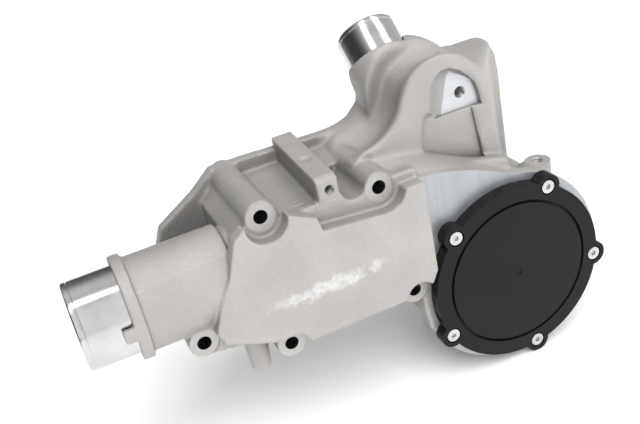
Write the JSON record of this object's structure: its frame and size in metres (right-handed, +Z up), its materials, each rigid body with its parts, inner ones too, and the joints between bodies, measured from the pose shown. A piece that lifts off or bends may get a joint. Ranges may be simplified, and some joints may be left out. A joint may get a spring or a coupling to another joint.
{
  "type": "engine coolant pump",
  "caption": "Heavy-duty engine coolant pump: cast housing with hose inlet, volute under a round black cover, rising outlet neck, and a gear-driven impeller shaft.",
  "frame": {"origin": "on the pump shaft's axis, at the housing's engine mounting face", "axes": "+Y along the shaft into the engine, +X to the right seen from the cover side (the inlet tube points to -X), +Z up"},
  "size_m": [0.3497, 0.1646, 0.2422],
  "materials": {
    "cast_aluminium": "fine die-cast and blasted",
    "machined_aluminium": "turned and polished",
    "moulded_cover": "moulded black, semi-matt",
    "zinc_steel": "zinc plated",
    "ground_steel": "ground",
    "gear_steel": "hobbed and oiled",
    "spring_steel": "drawn wire",
    "seal_rubber": "matt",
    "cast_impeller": "cast",
    "cage_plastic": "moulded",
    "brass_cup": "pressed",
    "carbon": "lapped carbon",
    "ceramic": "lapped ceramic"
  },
  "bodies": {
    "housing": {"main_housing": "cast_aluminium", "inlet_spigot": "machined_aluminium", "outlet_spigot": "machined_aluminium", "front_cover": "moulded_cover", "cover_screws": "zinc_steel", "cover_o_ring": "seal_rubber", "bearing_outer_ring": "ground_steel", "front_bearing_seal": "seal_rubber", "rear_bearing_seal": "seal_rubber", "bearing_circlip": "spring_steel", "seal_cup": "brass_cup", "seal_carbon_ring": "carbon", "seal_bellows": "seal_rubber", "seal_spring": "spring_steel", "pilot_o_ring": "seal_rubber", "port_face_seal": "seal_rubber", "dowel_bushes": "ground_steel"},
    "rotor": {"pump_shaft": "ground_steel", "impeller": "cast_impeller", "impeller_bush": "ground_steel", "seal_seat": "ceramic", "seat_rubber": "seal_rubber", "drive_gear": "gear_steel", "gear_key": "ground_steel", "gear_washer": "zinc_steel", "gear_nut": "zinc_steel"},
    "ball_set": {"bearing_balls": "ground_steel", "ball_cage": "cage_plastic"},
    "roller_set": {"bearing_rollers": "ground_steel", "roller_cage": "cage_plastic"}
  },
  "joints": [
    {"name": "shaft_spin", "type": "hinge", "parent": "housing", "child": "rotor", "pos_m": [0, 0, 0], "axis": [0, 1, 0], "continuous": true},
    {"name": "ball_set_spin", "type": "hinge", "parent": "housing", "child": "ball_set", "pos_m": [0, 0, 0], "axis": [0, 1, 0], "continuous": true},
    {"name": "roller_set_spin", "type": "hinge", "parent": "housing", "child": "roller_set", "pos_m": [0, 0, 0], "axis": [0, 1, 0], "continuous": true}
  ],
  "couplings": [
    {"joint": "ball_set_spin", "follows": "shaft_spin", "ratio": 0.3742},
    {"joint": "roller_set_spin", "follows": "shaft_spin", "ratio": 0.4112}
  ]
}
